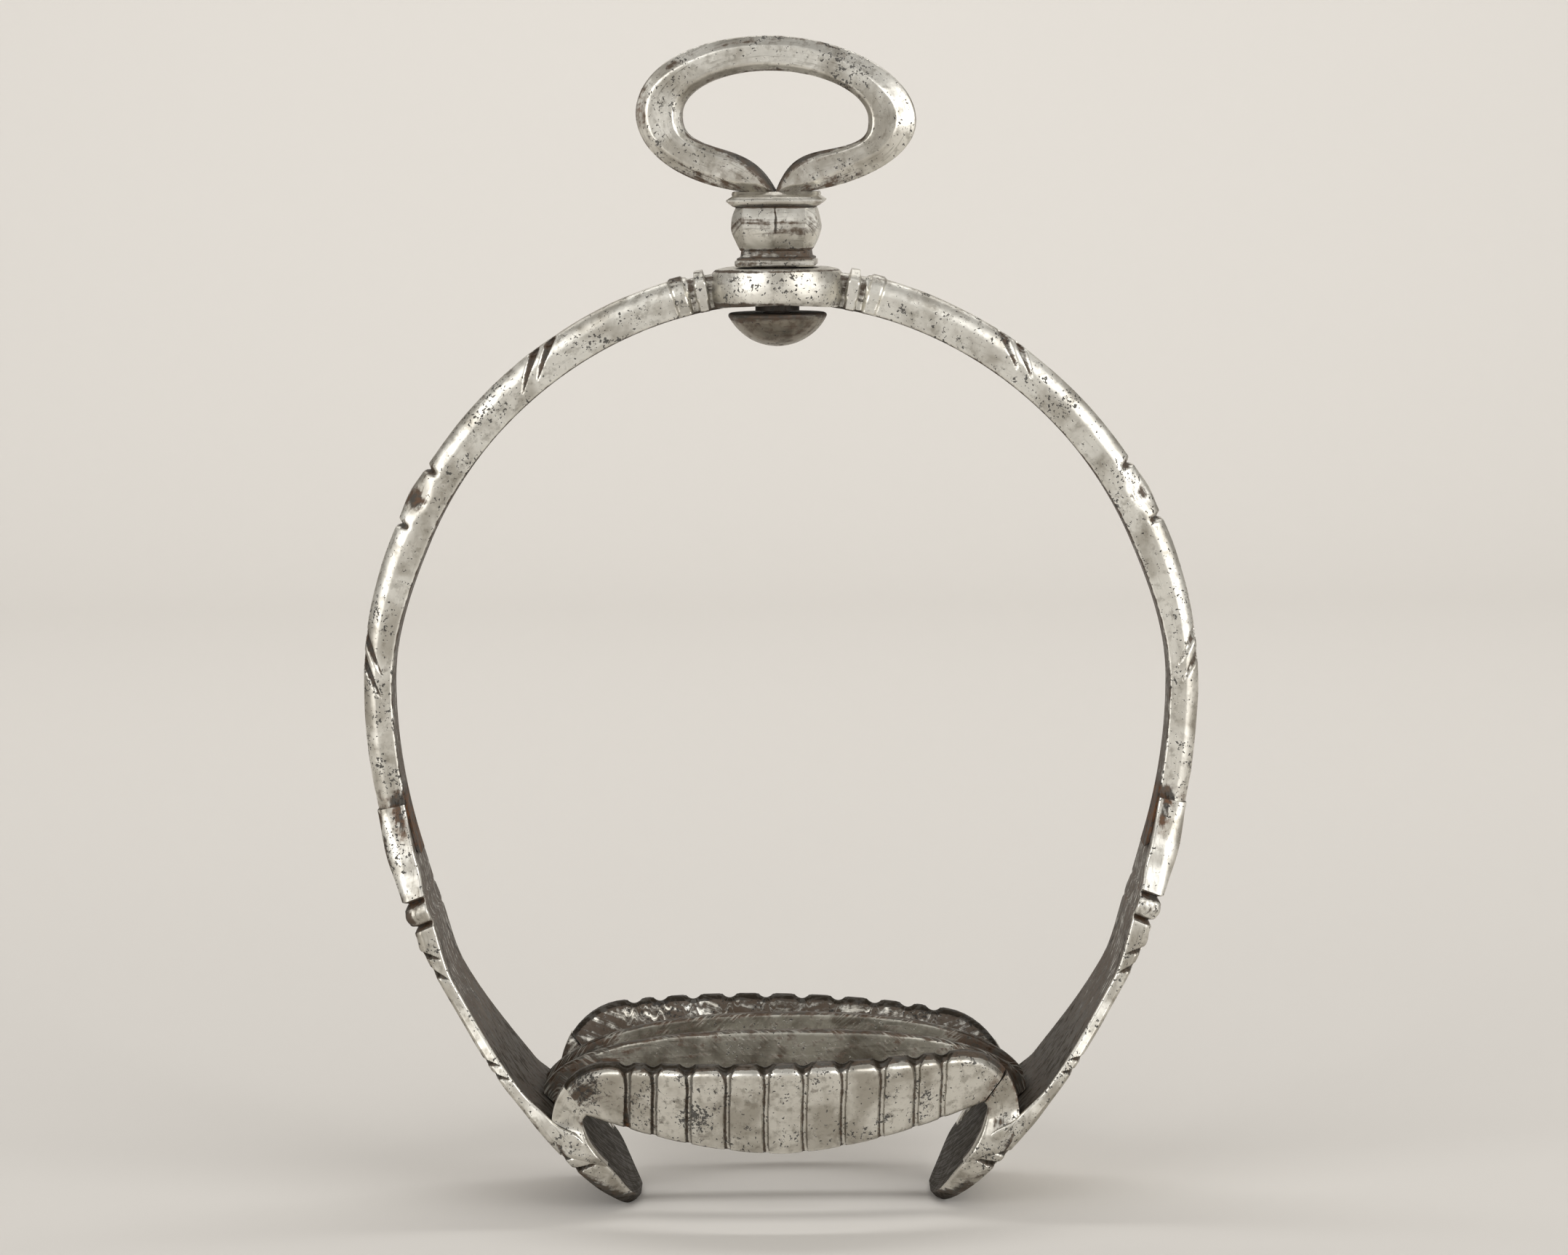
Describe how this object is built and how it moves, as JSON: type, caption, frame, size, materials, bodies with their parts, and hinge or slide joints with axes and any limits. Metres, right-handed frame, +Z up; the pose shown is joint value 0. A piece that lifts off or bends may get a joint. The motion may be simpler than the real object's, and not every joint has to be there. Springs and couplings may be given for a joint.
{
  "type": "riding stirrup",
  "caption": "Forged iron riding stirrup: round bow, swivelling strap eye with button, deep side plates, and an open fluted tread on two rounded feet.",
  "frame": {"origin": "on the ground surface, midway between the two feet", "axes": "+X across the stirrup to the viewer's right, -Y to the front, +Z up through the swivel"},
  "size_m": [0.1392, 0.0618, 0.1943],
  "materials": {
    "silvered_iron_eye": "worn tinned forged iron, filed and handled smooth",
    "silvered_iron_arch": "worn tinned forged iron with fine pits",
    "silvered_iron_plates": "worn tinned forged iron, bright edges and dark inner faces",
    "silvered_iron_walls": "worn tinned forged iron with filed flutes",
    "dulled_iron": "file-hatched iron with brown rust",
    "blackened_iron": "dark patinated iron"
  },
  "bodies": {
    "bow": {"bow_arch": "silvered_iron_arch", "cheek_left": "silvered_iron_plates", "cheek_right": "silvered_iron_plates", "tread_front_wall": "silvered_iron_walls", "tread_front_rail": "dulled_iron", "tread_rear_rail": "dulled_iron", "tread_back_wall": "silvered_iron_walls"},
    "swivel": {"swivel_eye": "silvered_iron_eye", "swivel_button": "blackened_iron"}
  },
  "joints": [
    {"name": "eye_swivel", "type": "hinge", "parent": "bow", "child": "swivel", "pos_m": [0, 0, 0.1533], "axis": [0, 0, 1], "continuous": true}
  ]
}
